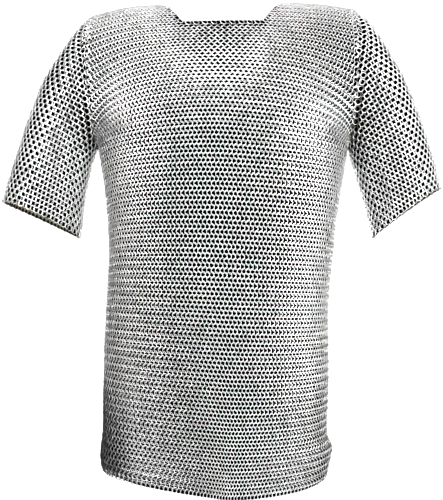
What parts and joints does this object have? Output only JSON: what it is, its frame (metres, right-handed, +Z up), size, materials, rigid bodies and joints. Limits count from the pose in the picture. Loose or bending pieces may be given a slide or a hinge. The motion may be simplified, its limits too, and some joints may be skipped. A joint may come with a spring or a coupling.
{
  "type": "chainmail hauberk",
  "caption": "Half-sleeved shirt of linked steel rings, filled out as when worn, with a square neck opening, open cuffs and an open hem.",
  "frame": {"origin": "midway between the shoulders, at the height of the shoulder line beside the neck, where the wearer's shoulders carry the hauberk", "axes": "+Z up, +X towards the wearer's left, -Y towards the front"},
  "size_m": [0.704, 0.249, 0.7761],
  "materials": {
    "mail": "linked round-wire rings, bright zinc-plated steel"
  },
  "bodies": {
    "root": {"front": "mail", "back": "mail", "sleeve_right": "mail", "sleeve_left": "mail"}
  },
  "joints": []
}
